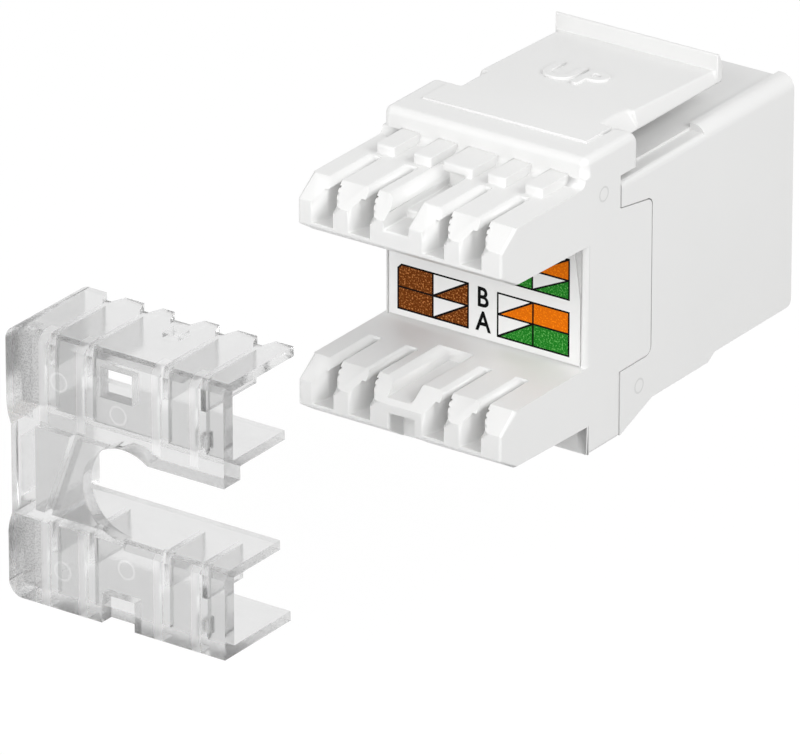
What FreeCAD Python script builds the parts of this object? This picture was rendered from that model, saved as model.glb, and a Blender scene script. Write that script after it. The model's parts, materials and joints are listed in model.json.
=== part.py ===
import FreeCAD, Part
import math
import os

import Sketcher

# Keystone jack with a punch-down rear end and a clear termination cap
# Lengths are millimetres. The origin is the centre of the port face: +X is the jack's right side
# seen from the cable end, +Y points out of the port, +Z is up, on the side of the latch arm.
SIZES = [
    # Body, port section in front and rear block behind the parting line
    ("bodyWidth", 14.5),
    ("bodyLength", 22.3),
    ("portHeight", 15.1),
    ("blockLength", 3.8),
    ("blockRise", 2.3),
    ("blockDrop", 1.7),
    ("wallThick", 1.6),
    ("sideWall", 1.15),
    ("partGap", 0.05),
    # Front housing details
    ("topRound", 0.9),
    ("edgeRound", 0.45),
    ("shoeLength", 10.15),
    ("shoeRamp", 3.4),
    ("shoeDepth", 0.45),
    ("shoeNose", 0.75),
    ("channelWidth", 12.2),
    ("channelDepth", 0.3),
    ("shoulderInset", 6.1),
    ("shoulderDrop", 0.45),
    ("shoulderLength", 8.9),
    ("shoulderRound", 0.3),
    ("tabLength", 3.2),
    ("tabTop", 5.45),
    ("tabBottom", 5.05),
    ("tabSlant", 0.5),
    ("tabRound", 0.5),
    ("tabGap", 0.08),
    # Port opening for the plug, its clip channel and the contact recess
    ("plugWidth", 11.8),
    ("plugTop", 4.2),
    ("plugBottom", 2.6),
    ("plugDepth", 13.0),
    ("clipWidth", 6.4),
    ("clipDepth", 1.6),
    ("clipNeck", 3.9),
    ("clipNeckDepth", 1.2),
    ("recessWidth", 9.0),
    ("recessHeight", 1.5),
    ("recessFront", 1.4),
    # Latch arm over the port section
    ("armWidth", 11.7),
    ("armTopWidth", 10.9),
    ("armRise", 1.2),
    ("armTipThick", 0.85),
    ("armReach", 16.7),
    ("lipThick", 0.7),
    ("lipTopThick", 0.25),
    ("lipRise", 3.1),
    ("reliefWidth", 0.9),
    ("reliefStart", 4.9),
    ("reliefEnd", 7.6),
    ("earReach", 1.8),
    ("earRound", 0.8),
    ("plateSet", 2.1),
    ("plateRise", 0.15),
    ("blockRound", 0.5),
    # Combs that hold the wires
    ("combReach", 8.7),
    ("combThick", 3.85),
    ("combSet", 1.74),
    ("cableGap", 7.81),
    ("tipBevel", 1.55),
    ("tipBevelDrop", 1.1),
    ("tipFace", 1.6),
    ("tipUnder", 1.43),
    ("underDraft", 0.25),
    ("slotPitch", 2.64),
    ("slotLeft", 0.35),
    ("slotRight", 0.18),
    ("slotLength", 5.6),
    ("slotDepth", 2.45),
    ("mouthRight", 0.95),
    ("mouthLength", 1.6),
    ("funnelLeft", 1.0),
    ("funnelLength", 2.3),
    ("funnelDrop", 0.5),
    ("slotRound", 0.45),
    ("footRight", 0.55),
    ("footDrop", 1.3),
    ("footStep", 0.2),
    ("ridgeStart", 0.22),
    ("ridgePitch", 0.28),
    ("ridgeGroove", 0.14),
    ("ridgeDepth", 0.12),
    ("pocketLeft", 1.1),
    ("pocketRight", 0.58),
    ("pocketRound", 0.75),
    ("upperPocketDepth", 1.66),
    ("lowerPocketDepth", 0.85),
    ("pocketStep", 0.5),
    ("pocketStepSet", 2.4),
    ("pocketExtra", 1.16),
    ("notchWidth", 1.73),
    ("notchShift", 0.15),
    ("notchHeight", 1.0),
    ("notchDepth", 1.5),
    ("rootBlockWidth", 1.3),
    ("rootBlockShift", 0.1),
    ("rootBlockReach", 2.75),
    ("rootBlockRise", 0.6),
    ("rootRound", 0.5),
    ("middleBlockWidth", 2.1),
    # Label between the combs
    ("labelWidth", 13.7),
    ("labelThick", 0.12),
    ("labelInset", 0.2),
    ("labelGap", 0.1),
    ("labelCut", 0.5),
    ("labelCutDrop", 3.4),
    # Blade contacts of the combs
    ("forkWidth", 1.5),
    ("forkThick", 0.5),
    ("forkSlit", 0.26),
    ("forkReach", 5.9),
    ("forkSlitLength", 3.2),
    ("forkGap", 0.06),
    ("forkPoint", 0.5),
    ("tailWidth", 0.7),
    # Circuit board and contact insert
    ("boardWidth", 11.4),
    ("boardOver", 0.15),
    ("boardThick", 1.0),
    ("boardSet", 0.3),
    ("insertGap", 0.1),
    ("insertLength", 5.2),
    ("insertWall", 1.25),
    # Spring contacts of the port
    ("springPitch", 1.02),
    ("springWidth", 0.42),
    ("springThick", 0.3),
    ("springHeight", 5.0),
    ("springNose", 3.6),
    ("springBend", 0.55),
    ("springRun", 7.4),
    ("springDrop", 2.4),
    ("springGroove", 0.56),
    # Clear cap, at rest behind the combs
    ("capTravel", 26.0),
    ("capWall", 0.6),
    ("capGap", 0.15),
    ("capUnderGap", 0.26),
    ("capWeb", 0.9),
    ("capWebGap", 0.6),
    ("capDepth", 6.8),
    ("capUpperDepth", 5.9),
    ("capRoofDepth", 5.4),
    ("capBottomDepth", 6.4),
    ("capLedge", 0.85),
    ("capLedgeDepth", 1.6),
    ("capBevel", 0.5),
    ("capRound", 0.95),
    ("capSpine", 0.6),
    ("capSpineMiddle", 1.5),
    ("capWaist", 0.45),
    ("capWaistRun", 2.6),
    ("capWaistUp", 4.2),
    ("capWaistDown", 4.4),
    ("capHoleRadius", 2.9),
    ("capHoleShift", 0.2),
    ("capFin", 0.36),
    ("capFinSet", 1.0),
    ("capFinGap", 0.2),
    ("capRib", 0.35),
    ("capRibWidth", 0.75),
    ("capGussetRight", 4.0),
    ("capGussetLeft", 5.9),
    ("capGussetThick", 0.5),
    ("capGussetReach", 0.8),
    ("capTabShift", 0.25),
    ("capTabReach", 1.0),
    ("capTabRise", 1.0),
    ("capWindowWidth", 2.3),
    ("capWindowHeight", 1.85),
    ("capWindowSet", 1.0),
    ("capWindowShift", 0.25),
    ("capPlateHole", 1.1),
    ("capPlateHoleShift", 0.6),
    ("capPlateHoleSet", 4.1),
    ("capValley", 0.9),
    ("capValleyFlare", 0.35),
]

COMB_NAMES = ["upper", "lower"]
SLOT_STEPS = [-2, -1, 1, 2]
SPRING_COUNT = 8
RIDGE_COUNT = 4

doc = FreeCAD.newDocument("keystone_jack")


class Size:
    """A length that knows its number and the sheet formula that it comes from."""

    def __init__(self, number, formula):
        self.number = number
        self.formula = formula

    def combine(self, other, sign, swap=False):
        if not isinstance(other, Size):
            other = Size(float(other), "(%.6f)" % other)
        left, right = (other, self) if swap else (self, other)
        number = {
            "+": lambda: left.number + right.number,
            "-": lambda: left.number - right.number,
            "*": lambda: left.number * right.number,
            "/": lambda: left.number / right.number,
        }[sign]()
        return Size(number, "(%s %s %s)" % (left.formula, sign, right.formula))

    def __add__(self, other):
        return self.combine(other, "+")

    def __radd__(self, other):
        return self.combine(other, "+", True)

    def __sub__(self, other):
        return self.combine(other, "-")

    def __rsub__(self, other):
        return self.combine(other, "-", True)

    def __mul__(self, other):
        return self.combine(other, "*")

    def __rmul__(self, other):
        return self.combine(other, "*", True)

    def __truediv__(self, other):
        return self.combine(other, "/")

    def __neg__(self):
        return self * -1


def make_sheet():
    """The driving dimensions, one cell each, with the name of each as its alias."""
    sheet = doc.addObject("Spreadsheet::Sheet", "Sizes")
    for row, (name, number) in enumerate(SIZES, start=1):
        sheet.set("A%d" % row, name)
        sheet.set("B%d" % row, str(number))
        sheet.setAlias("B%d" % row, name)
    doc.recompute()
    return sheet


class Sizes:
    """Reads the sheet's cells as Size values, by their alias."""

    def __init__(self, sheet):
        for name, number in SIZES:
            setattr(self, name, Size(float(sheet.get(name)), "Sizes." + name))


def bind(thing, prop, size):
    """Ties a property to the sheet."""
    thing.setExpression(prop, size.formula)


def new_body(name):
    """An empty body whose label is the name of its file."""
    body = doc.addObject("PartDesign::Body", name)
    body.Label = name
    return body


def origin_plane(body, role):
    """One of the body's own origin planes."""
    return [item for item in body.Origin.OriginFeatures if item.Role == role][0]


def arc_between(start, end, radius, turn):
    """Arc of a radius between two points; turn is 1 to the left of the way, -1 to the right."""
    middle = (start + end) * 0.5
    chord = end - start
    half = chord.Length / 2
    height = math.sqrt(max(radius ** 2 - half ** 2, 0.0))
    side = FreeCAD.Vector(-chord.y, chord.x, 0).normalize() * (height * turn)
    centre = middle + side
    first, last = (start, end) if turn > 0 else (end, start)
    first_angle = math.atan2(first.y - centre.y, first.x - centre.x)
    last_angle = math.atan2(last.y - centre.y, last.x - centre.x)
    circle = Part.Circle(centre, FreeCAD.Vector(0, 0, 1), radius)
    return Part.ArcOfCircle(circle, first_angle, last_angle)


def draw(body, name, plane, loops, lift=None):
    """A sketch of closed outlines on an origin plane, each corner tied to the sheet.

    A corner is (across, up), or (across, up, radius, turn) where an arc leads to the next one.
    """
    sketch = body.newObject("Sketcher::SketchObject", name)
    sketch.AttachmentSupport = [(origin_plane(body, plane), "")]
    sketch.MapMode = "FlatFace"
    if lift is not None:
        bind(sketch, "AttachmentOffset.Base.z", lift)
    for loop in loops:
        add_loop(sketch, loop)
    return sketch


def add_loop(sketch, loop):
    """Adds one closed outline to a sketch, with its constraints."""
    corners = [FreeCAD.Vector(corner[0].number, corner[1].number, 0) for corner in loop]
    ends = []
    for index, corner in enumerate(loop):
        start = corners[index]
        end = corners[(index + 1) % len(loop)]
        if len(corner) == 4:
            edge = arc_between(start, end, corner[2].number, corner[3])
            ends.append((1, 2) if corner[3] > 0 else (2, 1))
        else:
            edge = Part.LineSegment(start, end)
            ends.append((1, 2))
        sketch.addGeometry(edge, False)
    base = sketch.GeometryCount - len(loop)
    for index, corner in enumerate(loop):
        following = (index + 1) % len(loop)
        edge = base + index
        sketch.addConstraint(Sketcher.Constraint(
            "Coincident", edge, ends[index][1], base + following, ends[following][0]))
        for kind, size in (("DistanceX", corner[0]), ("DistanceY", corner[1])):
            mark = sketch.addConstraint(Sketcher.Constraint(
                kind, -1, 1, edge, ends[index][0], size.number))
            bind(sketch, "Constraints[%d]" % mark, size)
        if len(corner) == 4:
            mark = sketch.addConstraint(Sketcher.Constraint("Radius", edge, corner[2].number))
            bind(sketch, "Constraints[%d]" % mark, corner[2])


def extrude(body, kind, sketch, name, length, back=False, both=False):
    """A pad or pocket of a sketch; back runs it against the plane's normal."""
    feature = body.newObject("PartDesign::" + kind, name)
    feature.Profile = sketch
    bind(feature, "Length", length)
    feature.Reversed = back
    if both:
        feature.SideType = "Symmetric"
    sketch.Visibility = False
    return feature


def pad(body, sketch, name, length, back=False, both=False):
    return extrude(body, "Pad", sketch, name, length, back, both)


def pocket(body, sketch, name, length, back=False, both=False):
    return extrude(body, "Pocket", sketch, name, length, back, both)


def block(body, name, across, along, up, cut=False):
    """A box between two X, two Y and two Z values, added to or cut from the body."""
    kind = "PartDesign::SubtractiveBox" if cut else "PartDesign::AdditiveBox"
    feature = body.newObject(kind, name)
    bind(feature, "Length", across[1] - across[0])
    bind(feature, "Width", along[1] - along[0])
    bind(feature, "Height", up[1] - up[0])
    bind(feature, "Placement.Base.x", across[0])
    bind(feature, "Placement.Base.y", along[0])
    bind(feature, "Placement.Base.z", up[0])
    return feature


def round_edges(body, name, radius, wanted):
    """Fillets the edges of the body's tip for which wanted(edge) is true."""
    doc.recompute()
    tip = body.Tip
    picked = ["Edge%d" % (number + 1) for number, edge in enumerate(tip.Shape.Edges) if wanted(edge)]
    feature = body.newObject("PartDesign::Fillet", name)
    feature.Base = (tip, picked)
    bind(feature, "Radius", radius)
    return feature


def runs_along(edge, axis):
    """True where a straight edge is parallel to X (0), Y (1) or Z (2)."""
    box = edge.BoundBox
    spans = [box.XLength, box.YLength, box.ZLength]
    return spans[axis] > 1e-6 and sum(spans) - spans[axis] < 1e-6


def rectangle(left, right, low, high):
    return [(left, low), (right, low), (right, high), (left, high)]


sizes = Sizes(make_sheet())
half_width = sizes.bodyWidth / 2
wall_face = -sizes.bodyLength
parting = wall_face + sizes.blockLength
port_top = sizes.portHeight / 2
port_bottom = -port_top
block_top = port_top + sizes.blockRise
block_bottom = port_bottom - sizes.blockDrop
comb_tip = wall_face - sizes.combReach
comb_tops = {"upper": block_top - sizes.combSet}
comb_tops["lower"] = comb_tops["upper"] - sizes.combThick - sizes.cableGap
inner_half = half_width - sizes.sideWall
board_back = wall_face + sizes.wallThick + sizes.boardSet
board_front = board_back + sizes.boardThick
board_rise = port_top + sizes.boardOver
insert_rise = port_top - sizes.insertWall
zero = sizes.bodyWidth * 0


def make_front_housing():
    """Port section: a shell with the plug opening in front and the insert's pocket behind."""
    body = new_body("front_housing")
    outer = draw(body, "shell_outline", "XZ_Plane",
                 [rectangle(-half_width, half_width, port_bottom, port_top)])
    pad(body, outer, "shell", -parting)
    round_edges(body, "top_rounds", sizes.topRound,
                lambda edge: runs_along(edge, 1) and edge.CenterOfMass.z > 0)
    round_edges(body, "face_round", sizes.edgeRound,
                lambda edge: runs_along(edge, 0) and edge.CenterOfMass.z < 0
                and abs(edge.CenterOfMass.y) < 1e-3)
    shoe_end = parting + sizes.shoeLength
    shoe_bottom = port_bottom - sizes.shoeDepth
    shoe = draw(body, "shoe_outline", "YZ_Plane", [[
        (parting, block_bottom),
        (parting + sizes.shoeRamp, shoe_bottom),
        (shoe_end - sizes.shoeNose, shoe_bottom),
        (shoe_end, port_bottom),
        (shoe_end, port_bottom + sizes.edgeRound),
        (parting, port_bottom + sizes.edgeRound)]])
    pad(body, shoe, "shoe", sizes.bodyWidth, both=True)
    channel_half = sizes.channelWidth / 2
    block(body, "latch_channel", (-channel_half, channel_half),
          (parting, zero + 1), (port_top - sizes.channelDepth, port_top + 1), cut=True)
    shoulder_low = port_top - sizes.shoulderDrop
    shoulders = draw(body, "shoulder_outline", "XZ_Plane", [
        rectangle(sizes.shoulderInset, half_width + 1, shoulder_low, port_top + 1),
        rectangle(-half_width - 1, -sizes.shoulderInset, shoulder_low, port_top + 1)],
        lift=-parting)
    pocket(body, shoulders, "shoulders", sizes.shoulderLength)
    round_edges(body, "shoulder_rounds", sizes.shoulderRound,
                lambda edge: runs_along(edge, 1) and edge.CenterOfMass.z > 0
                and abs(edge.CenterOfMass.z - shoulder_low.number) < 1e-3
                and abs(edge.CenterOfMass.x) > inner_half.number)
    add_tab_windows(body)
    add_port(body)
    return body


def tab_outline(gap):
    """Side view of the snap tab of the rear housing, or of its window with a gap round it."""
    front = parting + sizes.tabLength + gap
    low = -sizes.tabBottom - gap
    radius = sizes.tabRound + gap
    back_top = sizes.tabTop + gap
    front_top = back_top - sizes.tabSlant
    rise = sizes.tabSlant * radius / sizes.tabLength
    return [(parting, low), (front - radius, low, radius, 1), (front, low + radius),
            (front, front_top - radius, radius, 1), (front - radius, front_top + rise),
            (parting, back_top)]


def add_tab_windows(body):
    """Windows in both side walls, open at the parting line."""
    for side, name in ((1, "right"), (-1, "left")):
        lift = inner_half if side > 0 else -half_width
        window = draw(body, name + "_window_outline", "YZ_Plane", [tab_outline(sizes.tabGap)], lift=lift)
        pocket(body, window, name + "_window", sizes.sideWall, back=True)


def add_port(body):
    """Plug opening with its clip channel, contact recess and the pocket for the insert."""
    plug_half = sizes.plugWidth / 2
    clip_half = sizes.clipWidth / 2
    neck_half = sizes.clipNeck / 2
    clip_floor = -sizes.plugBottom - sizes.clipDepth
    neck_floor = clip_floor - sizes.clipNeckDepth
    opening = draw(body, "plug_outline", "XZ_Plane", [[
        (-plug_half, -sizes.plugBottom), (-clip_half, -sizes.plugBottom),
        (-clip_half, clip_floor), (-neck_half, clip_floor), (-neck_half, neck_floor),
        (neck_half, neck_floor), (neck_half, clip_floor), (clip_half, clip_floor),
        (clip_half, -sizes.plugBottom), (plug_half, -sizes.plugBottom),
        (plug_half, sizes.plugTop), (-plug_half, sizes.plugTop)]])
    pocket(body, opening, "plug_opening", sizes.plugDepth, back=True)
    recess_half = sizes.recessWidth / 2
    block(body, "contact_recess", (-recess_half, recess_half), (-sizes.plugDepth, -sizes.recessFront),
          (zero, sizes.plugTop + sizes.recessHeight), cut=True)
    insert_half = insert_rise + sizes.insertGap
    block(body, "insert_pocket", (-inner_half, inner_half), (parting, -sizes.plugDepth),
          (-insert_half, insert_half), cut=True)


def make_rear_housing():
    """Rear block with the two wire combs, the snap tabs and the latch arm, one moulding."""
    body = new_body("rear_housing")
    side = draw(body, "block_outline", "YZ_Plane",
                [rectangle(wall_face, parting, block_bottom, block_top)])
    pad(body, side, "rear_block", sizes.bodyWidth, both=True)
    add_ears(body)
    round_edges(body, "block_rounds", sizes.blockRound, is_block_edge)
    for name in COMB_NAMES:
        add_comb(body, name)
    add_latch(body)
    add_block_inside(body)
    for name in COMB_NAMES:
        add_slots(body, name)
        add_fork_seats(body, name)
        add_middle_pocket(body, name)
    add_root_blocks(body)
    add_tip_notch(body)
    return body


def add_ears(body):
    """Ears that carry the block's top on beside the arm, over the port section."""
    ear_inner = sizes.armWidth / 2 + sizes.partGap * 2
    ear_front = parting + sizes.earReach
    ear_bottom = port_top + sizes.partGap
    for sign, side in ((1, "right"), (-1, "left")):
        lift = ear_inner if sign > 0 else -half_width
        ear = draw(body, side + "_ear_outline", "YZ_Plane", [[
            (parting - sizes.wallThick, ear_bottom),
            (ear_front, ear_bottom),
            (ear_front, block_top - sizes.earRound, sizes.earRound, 1),
            (ear_front - sizes.earRound, block_top),
            (parting - sizes.wallThick, block_top)]], lift=lift)
        pad(body, ear, side + "_ear", half_width - ear_inner)


def is_block_edge(edge):
    """True for the outer edges of the wall face and for the block's top side edges."""
    middle = edge.CenterOfMass
    high = abs(middle.z - block_top.number) < 1e-3
    outer = abs(middle.x) > half_width.number - 1e-3
    return edge.BoundBox.YMax < wall_face.number + 1e-3 or (high and outer and runs_along(edge, 1))


def add_comb(body, name):
    """Solid side profile of a comb, the upper one rounded into the wall, before its slots."""
    top = comb_tops[name]
    root = wall_face + sizes.wallThick / 2
    start = [(root, top)]
    if name == "upper":
        start = [(wall_face - sizes.rootRound, top, sizes.rootRound, 1),
                 (wall_face, top + sizes.rootRound), (root, top + sizes.rootRound)]
    profile = draw(body, name + "_comb_outline", "YZ_Plane", [start + [
        (root, top - sizes.combThick),
        (comb_tip + sizes.tipUnder, top - sizes.combThick + sizes.underDraft),
        (comb_tip, top - sizes.tipBevelDrop - sizes.tipFace),
        (comb_tip, top - sizes.tipBevelDrop),
        (comb_tip + sizes.tipBevel, top)]])
    pad(body, profile, name + "_comb", sizes.bodyWidth, both=True)


def add_latch(body):
    """Plate on the block and the arm with its lip over the port section."""
    arm_bottom = port_top + sizes.armRise
    arm_top = block_top + sizes.plateRise
    tip = wall_face + sizes.armReach
    tip_top = arm_bottom + sizes.armTipThick
    lip_top = port_top + sizes.lipRise
    arm = draw(body, "arm_outline", "YZ_Plane", [[
        (parting - sizes.wallThick, arm_bottom),
        (tip, arm_bottom),
        (tip, tip_top),
        (tip - sizes.lipThick + sizes.lipTopThick, lip_top),
        (tip - sizes.lipThick, lip_top),
        (tip - sizes.lipThick, tip_top),
        (parting + sizes.earReach, arm_top),
        (wall_face + sizes.plateSet, arm_top),
        (wall_face + sizes.plateSet, block_top - sizes.plateRise),
        (parting - sizes.wallThick, block_top - sizes.plateRise)]])
    pad(body, arm, "arm", sizes.armWidth, both=True)
    arm_half = sizes.armWidth / 2
    bevel_width = (sizes.armWidth - sizes.armTopWidth) / 2
    lip_back = tip - sizes.lipThick
    bevel_back = parting + sizes.earReach
    for name, width, back, front in (
            ("arm_bevels", bevel_width, bevel_back, lip_back),
            ("reliefs", sizes.reliefWidth, wall_face + sizes.reliefStart, wall_face + sizes.reliefEnd)):
        bevels = draw(body, name + "_outline", "XZ_Plane", [
            [(arm_half, arm_bottom), (arm_half, arm_top), (arm_half - width, arm_top)],
            [(-arm_half, arm_bottom), (-arm_half + width, arm_top), (-arm_half, arm_top)]],
            lift=-back)
        pocket(body, bevels, name, front - back)


def add_block_inside(body):
    """Hollow for the circuit board, the label's recess and the snap tabs."""
    board_half = sizes.boardWidth / 2 + sizes.boardSet
    hollow_rise = board_rise + sizes.boardSet
    block(body, "board_hollow", (-board_half, board_half),
          (wall_face + sizes.wallThick, parting), (-hollow_rise, hollow_rise), cut=True)
    recess_half = sizes.labelWidth / 2 + sizes.labelGap
    block(body, "label_recess", (-recess_half, recess_half),
          (wall_face - 1, wall_face + sizes.labelInset),
          (comb_tops["lower"], comb_tops["upper"] - sizes.combThick), cut=True)
    for sign, side in ((1, "right"), (-1, "left")):
        inner = inner_half + sizes.tabGap
        lift = inner if sign > 0 else -half_width
        tab = draw(body, side + "_tab_outline", "YZ_Plane", [tab_outline(zero)], lift=lift)
        pad(body, tab, side + "_tab", half_width - inner)


def slot_centres():
    return [sizes.slotPitch * step for step in SLOT_STEPS]


def tangent_radius(shift, run):
    """Radius of an arc that leaves a straight side smoothly and shifts sideways over a run."""
    return (shift * shift + run * run) / (shift * 2)


def mouth_outline(centre, reach, extra=None):
    """Plan of the right side of a slot's mouth, which widens in an arc towards the tip."""
    shift = reach - sizes.slotRight
    right = centre + sizes.slotRight
    if extra is not None:
        right = right + extra
    flare_start = comb_tip + sizes.mouthLength
    return [
        (centre, comb_tip),
        (right + shift, comb_tip, tangent_radius(shift, sizes.mouthLength), -1),
        (right, flare_start),
        (centre, flare_start)]


def funnel_outline(centre):
    """Plan of the left side of a slot's mouth, which rounds off the tooth beside it."""
    left = centre - sizes.slotLeft
    inner = comb_tip + sizes.funnelLength
    shift = sizes.funnelLeft - sizes.slotLeft
    return [
        (left - shift, comb_tip),
        (centre, comb_tip),
        (centre, inner),
        (left, inner, tangent_radius(shift, sizes.funnelLength), -1)]


def add_slots(body, name):
    """Four wire slots: straight run, rounded left side and stepped, ridged right side."""
    top = comb_tops[name]
    centres = slot_centres()
    runs = draw(body, name + "_slot_outlines", "XY_Plane",
                [rectangle(centre - sizes.slotLeft, centre + sizes.slotRight,
                           comb_tip, comb_tip + sizes.slotLength) for centre in centres], lift=top)
    pocket(body, runs, name + "_slots", sizes.slotDepth)
    funnels = draw(body, name + "_funnel_outlines", "XY_Plane",
                   [funnel_outline(centre) for centre in centres], lift=top - sizes.funnelDrop)
    pocket(body, funnels, name + "_funnels", sizes.slotDepth - sizes.funnelDrop)
    middle_reach = (sizes.mouthRight + sizes.footRight) / 2
    for part, reach, low in (("mouths", sizes.mouthRight, sizes.footDrop),
                             ("steps", middle_reach, sizes.footDrop + sizes.footStep),
                             ("feet", sizes.footRight, sizes.slotDepth)):
        outline = draw(body, "%s_%s_outlines" % (name, part), "XY_Plane",
                       [mouth_outline(centre, reach) for centre in centres], lift=top)
        pocket(body, outline, "%s_%s" % (name, part), low)
    add_slot_rounds(body, name)
    for number in range(RIDGE_COUNT):
        level = top - sizes.ridgeStart - sizes.ridgePitch * number
        groove = draw(body, "%s_ridge_outlines_%d" % (name, number), "XY_Plane",
                      [mouth_outline(centre, sizes.mouthRight, sizes.ridgeDepth)
                       for centre in centres], lift=level)
        pocket(body, groove, "%s_ridges_%d" % (name, number), sizes.ridgeGroove)


def add_slot_rounds(body, name):
    """Rounds the left top edge of each slot from the tip to the root."""
    top = comb_tops[name]
    over = sizes.slotRight / 2
    outlines = []
    for centre in slot_centres():
        left = centre - sizes.slotLeft
        outlines.append([
            (left - sizes.slotRound, top, sizes.slotRound, -1),
            (left, top - sizes.slotRound),
            (left + over, top - sizes.slotRound),
            (left + over, top + over),
            (left - sizes.slotRound, top + over)])
    rounds = draw(body, name + "_slot_round_outlines", "XZ_Plane", outlines, lift=-comb_tip)
    pocket(body, rounds, name + "_slot_rounds", sizes.slotLength)


def add_fork_seats(body, name):
    """Seats of the blade contacts, from the hollow of the block into the slots."""
    low, high = fork_level(comb_tops[name])
    half = sizes.forkWidth / 2 + sizes.forkGap
    middles = [fork_middle(centre) for centre in slot_centres()]
    seats = draw(body, name + "_seat_outlines", "XZ_Plane",
                 [rectangle(middle - half, middle + half, low - sizes.forkGap, high + sizes.forkGap)
                  for middle in middles], lift=-(wall_face - sizes.forkReach))
    pocket(body, seats, name + "_seats", sizes.forkReach + sizes.wallThick)


def fork_level(top):
    """Lowest and highest Z of a blade contact, which stands on the floor of its slot."""
    low = top - sizes.slotDepth + sizes.forkGap
    return low, low + sizes.forkThick


def fork_middle(centre):
    """Middle of the narrow slot, on which the blade contact's slit is centred."""
    return centre + (sizes.slotRight - sizes.slotLeft) / 2


def add_middle_pocket(body, name):
    """Pocket between the middle teeth, open at the tip and stepped in the upper comb."""
    top = comb_tops[name]
    depth = sizes.upperPocketDepth if name == "upper" else sizes.lowerPocketDepth
    floor = top - depth
    front = draw(body, name + "_pocket_outline", "XZ_Plane", [pocket_outline(top, floor)],
                 lift=-comb_tip)
    length = sizes.slotLength + sizes.pocketExtra
    if name == "lower":
        pocket(body, front, name + "_pocket", length)
        return
    pocket(body, front, name + "_pocket", sizes.pocketStepSet)
    back = draw(body, name + "_pocket_back_outline", "XZ_Plane",
                [pocket_outline(top, floor + sizes.pocketStep)],
                lift=-(comb_tip + sizes.pocketStepSet))
    pocket(body, back, name + "_pocket_back", length - sizes.pocketStepSet)


def pocket_outline(top, floor):
    """Section of the middle pocket, with a broad round on its left top edge."""
    return [
        (-sizes.pocketLeft - sizes.pocketRound, top, sizes.pocketRound, -1),
        (-sizes.pocketLeft, top - sizes.pocketRound),
        (-sizes.pocketLeft, floor),
        (sizes.pocketRight, floor),
        (sizes.pocketRight, top + sizes.pocketRound),
        (-sizes.pocketLeft - sizes.pocketRound, top + sizes.pocketRound)]


def root_block_spans():
    """Left and right X of each raised block of the upper comb."""
    half = sizes.rootBlockWidth / 2
    middle_half = sizes.middleBlockWidth / 2
    spans = [(centre + sizes.rootBlockShift - half, centre + sizes.rootBlockShift + half)
             for centre in slot_centres()]
    spans.append((-middle_half, middle_half))
    return spans


def add_root_blocks(body):
    """Raised blocks on the upper comb, one at the root of each slot and one in the middle."""
    blocks = draw(body, "root_block_outlines", "XY_Plane",
                  [rectangle(left, right, wall_face - sizes.rootBlockReach, wall_face)
                   for left, right in root_block_spans()], lift=comb_tops["upper"])
    pad(body, blocks, "root_blocks", sizes.rootBlockRise)


def add_tip_notch(body):
    """Notch in the lower edge of the lower comb's end face."""
    top = comb_tops["lower"]
    left = sizes.notchShift - sizes.notchWidth / 2
    face_bottom = top - sizes.tipBevelDrop - sizes.tipFace
    block(body, "tip_notch", (left, left + sizes.notchWidth), (comb_tip, comb_tip + sizes.notchDepth),
          (top - sizes.combThick, face_bottom + sizes.notchHeight), cut=True)


def make_contact_insert():
    """Moulded carrier behind the port that holds the spring contacts in grooves."""
    body = new_body("contact_insert")
    half = inner_half - sizes.insertGap
    front = -sizes.plugDepth - sizes.partGap
    block(body, "carrier", (-half, half), (front - sizes.insertLength, front),
          (-insert_rise, insert_rise))
    groove_half = sizes.springGroove / 2
    floor = sizes.springHeight - sizes.springThick / 2
    grooves = draw(body, "groove_outlines", "XZ_Plane",
                   [rectangle(middle - groove_half, middle + groove_half, floor, insert_rise)
                    for middle in spring_places()], lift=-(front - sizes.insertLength))
    pocket(body, grooves, "grooves", sizes.insertLength)
    return body


def spring_places():
    return [sizes.springPitch * (number - (SPRING_COUNT - 1) / 2) for number in range(SPRING_COUNT)]


def spring_outline():
    """Side view of a spring contact: a run to the board, a bend and a leg into the port."""
    leg = math.hypot(sizes.springRun.number, sizes.springDrop.number)
    length = Size(leg, "sqrt(%s^2 + %s^2)" % (sizes.springRun.formula, sizes.springDrop.formula))
    sine = sizes.springDrop / length
    cosine = sizes.springRun / length
    low = sizes.springHeight - sizes.springThick / 2
    high = low + sizes.springThick
    outer = sizes.springBend
    inner = outer - sizes.springThick
    centre_y = -sizes.springNose
    centre_z = high - outer
    return [
        (board_front, low),
        (centre_y, centre_z + inner, inner, -1),
        (centre_y + inner * sine, centre_z - inner * cosine),
        (centre_y + inner * sine - sizes.springRun, centre_z - inner * cosine - sizes.springDrop),
        (centre_y + outer * sine - sizes.springRun, centre_z - outer * cosine - sizes.springDrop),
        (centre_y + outer * sine, centre_z - outer * cosine, outer, 1),
        (centre_y, high),
        (board_front, high)]


def make_spring_contact(number, middle):
    """One gilt spring contact of the port."""
    body = new_body("spring_contact_%d" % number)
    outline = draw(body, "spring_outline_%d" % number, "YZ_Plane", [spring_outline()],
                   lift=middle - sizes.springWidth / 2)
    pad(body, outline, "spring_%d" % number, sizes.springWidth)
    return body


def make_circuit_board():
    """Small board that joins the blade contacts to the spring contacts."""
    body = new_body("circuit_board")
    half = sizes.boardWidth / 2
    block(body, "board", (-half, half), (board_back, board_front), (-board_rise, board_rise))
    return body


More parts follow.
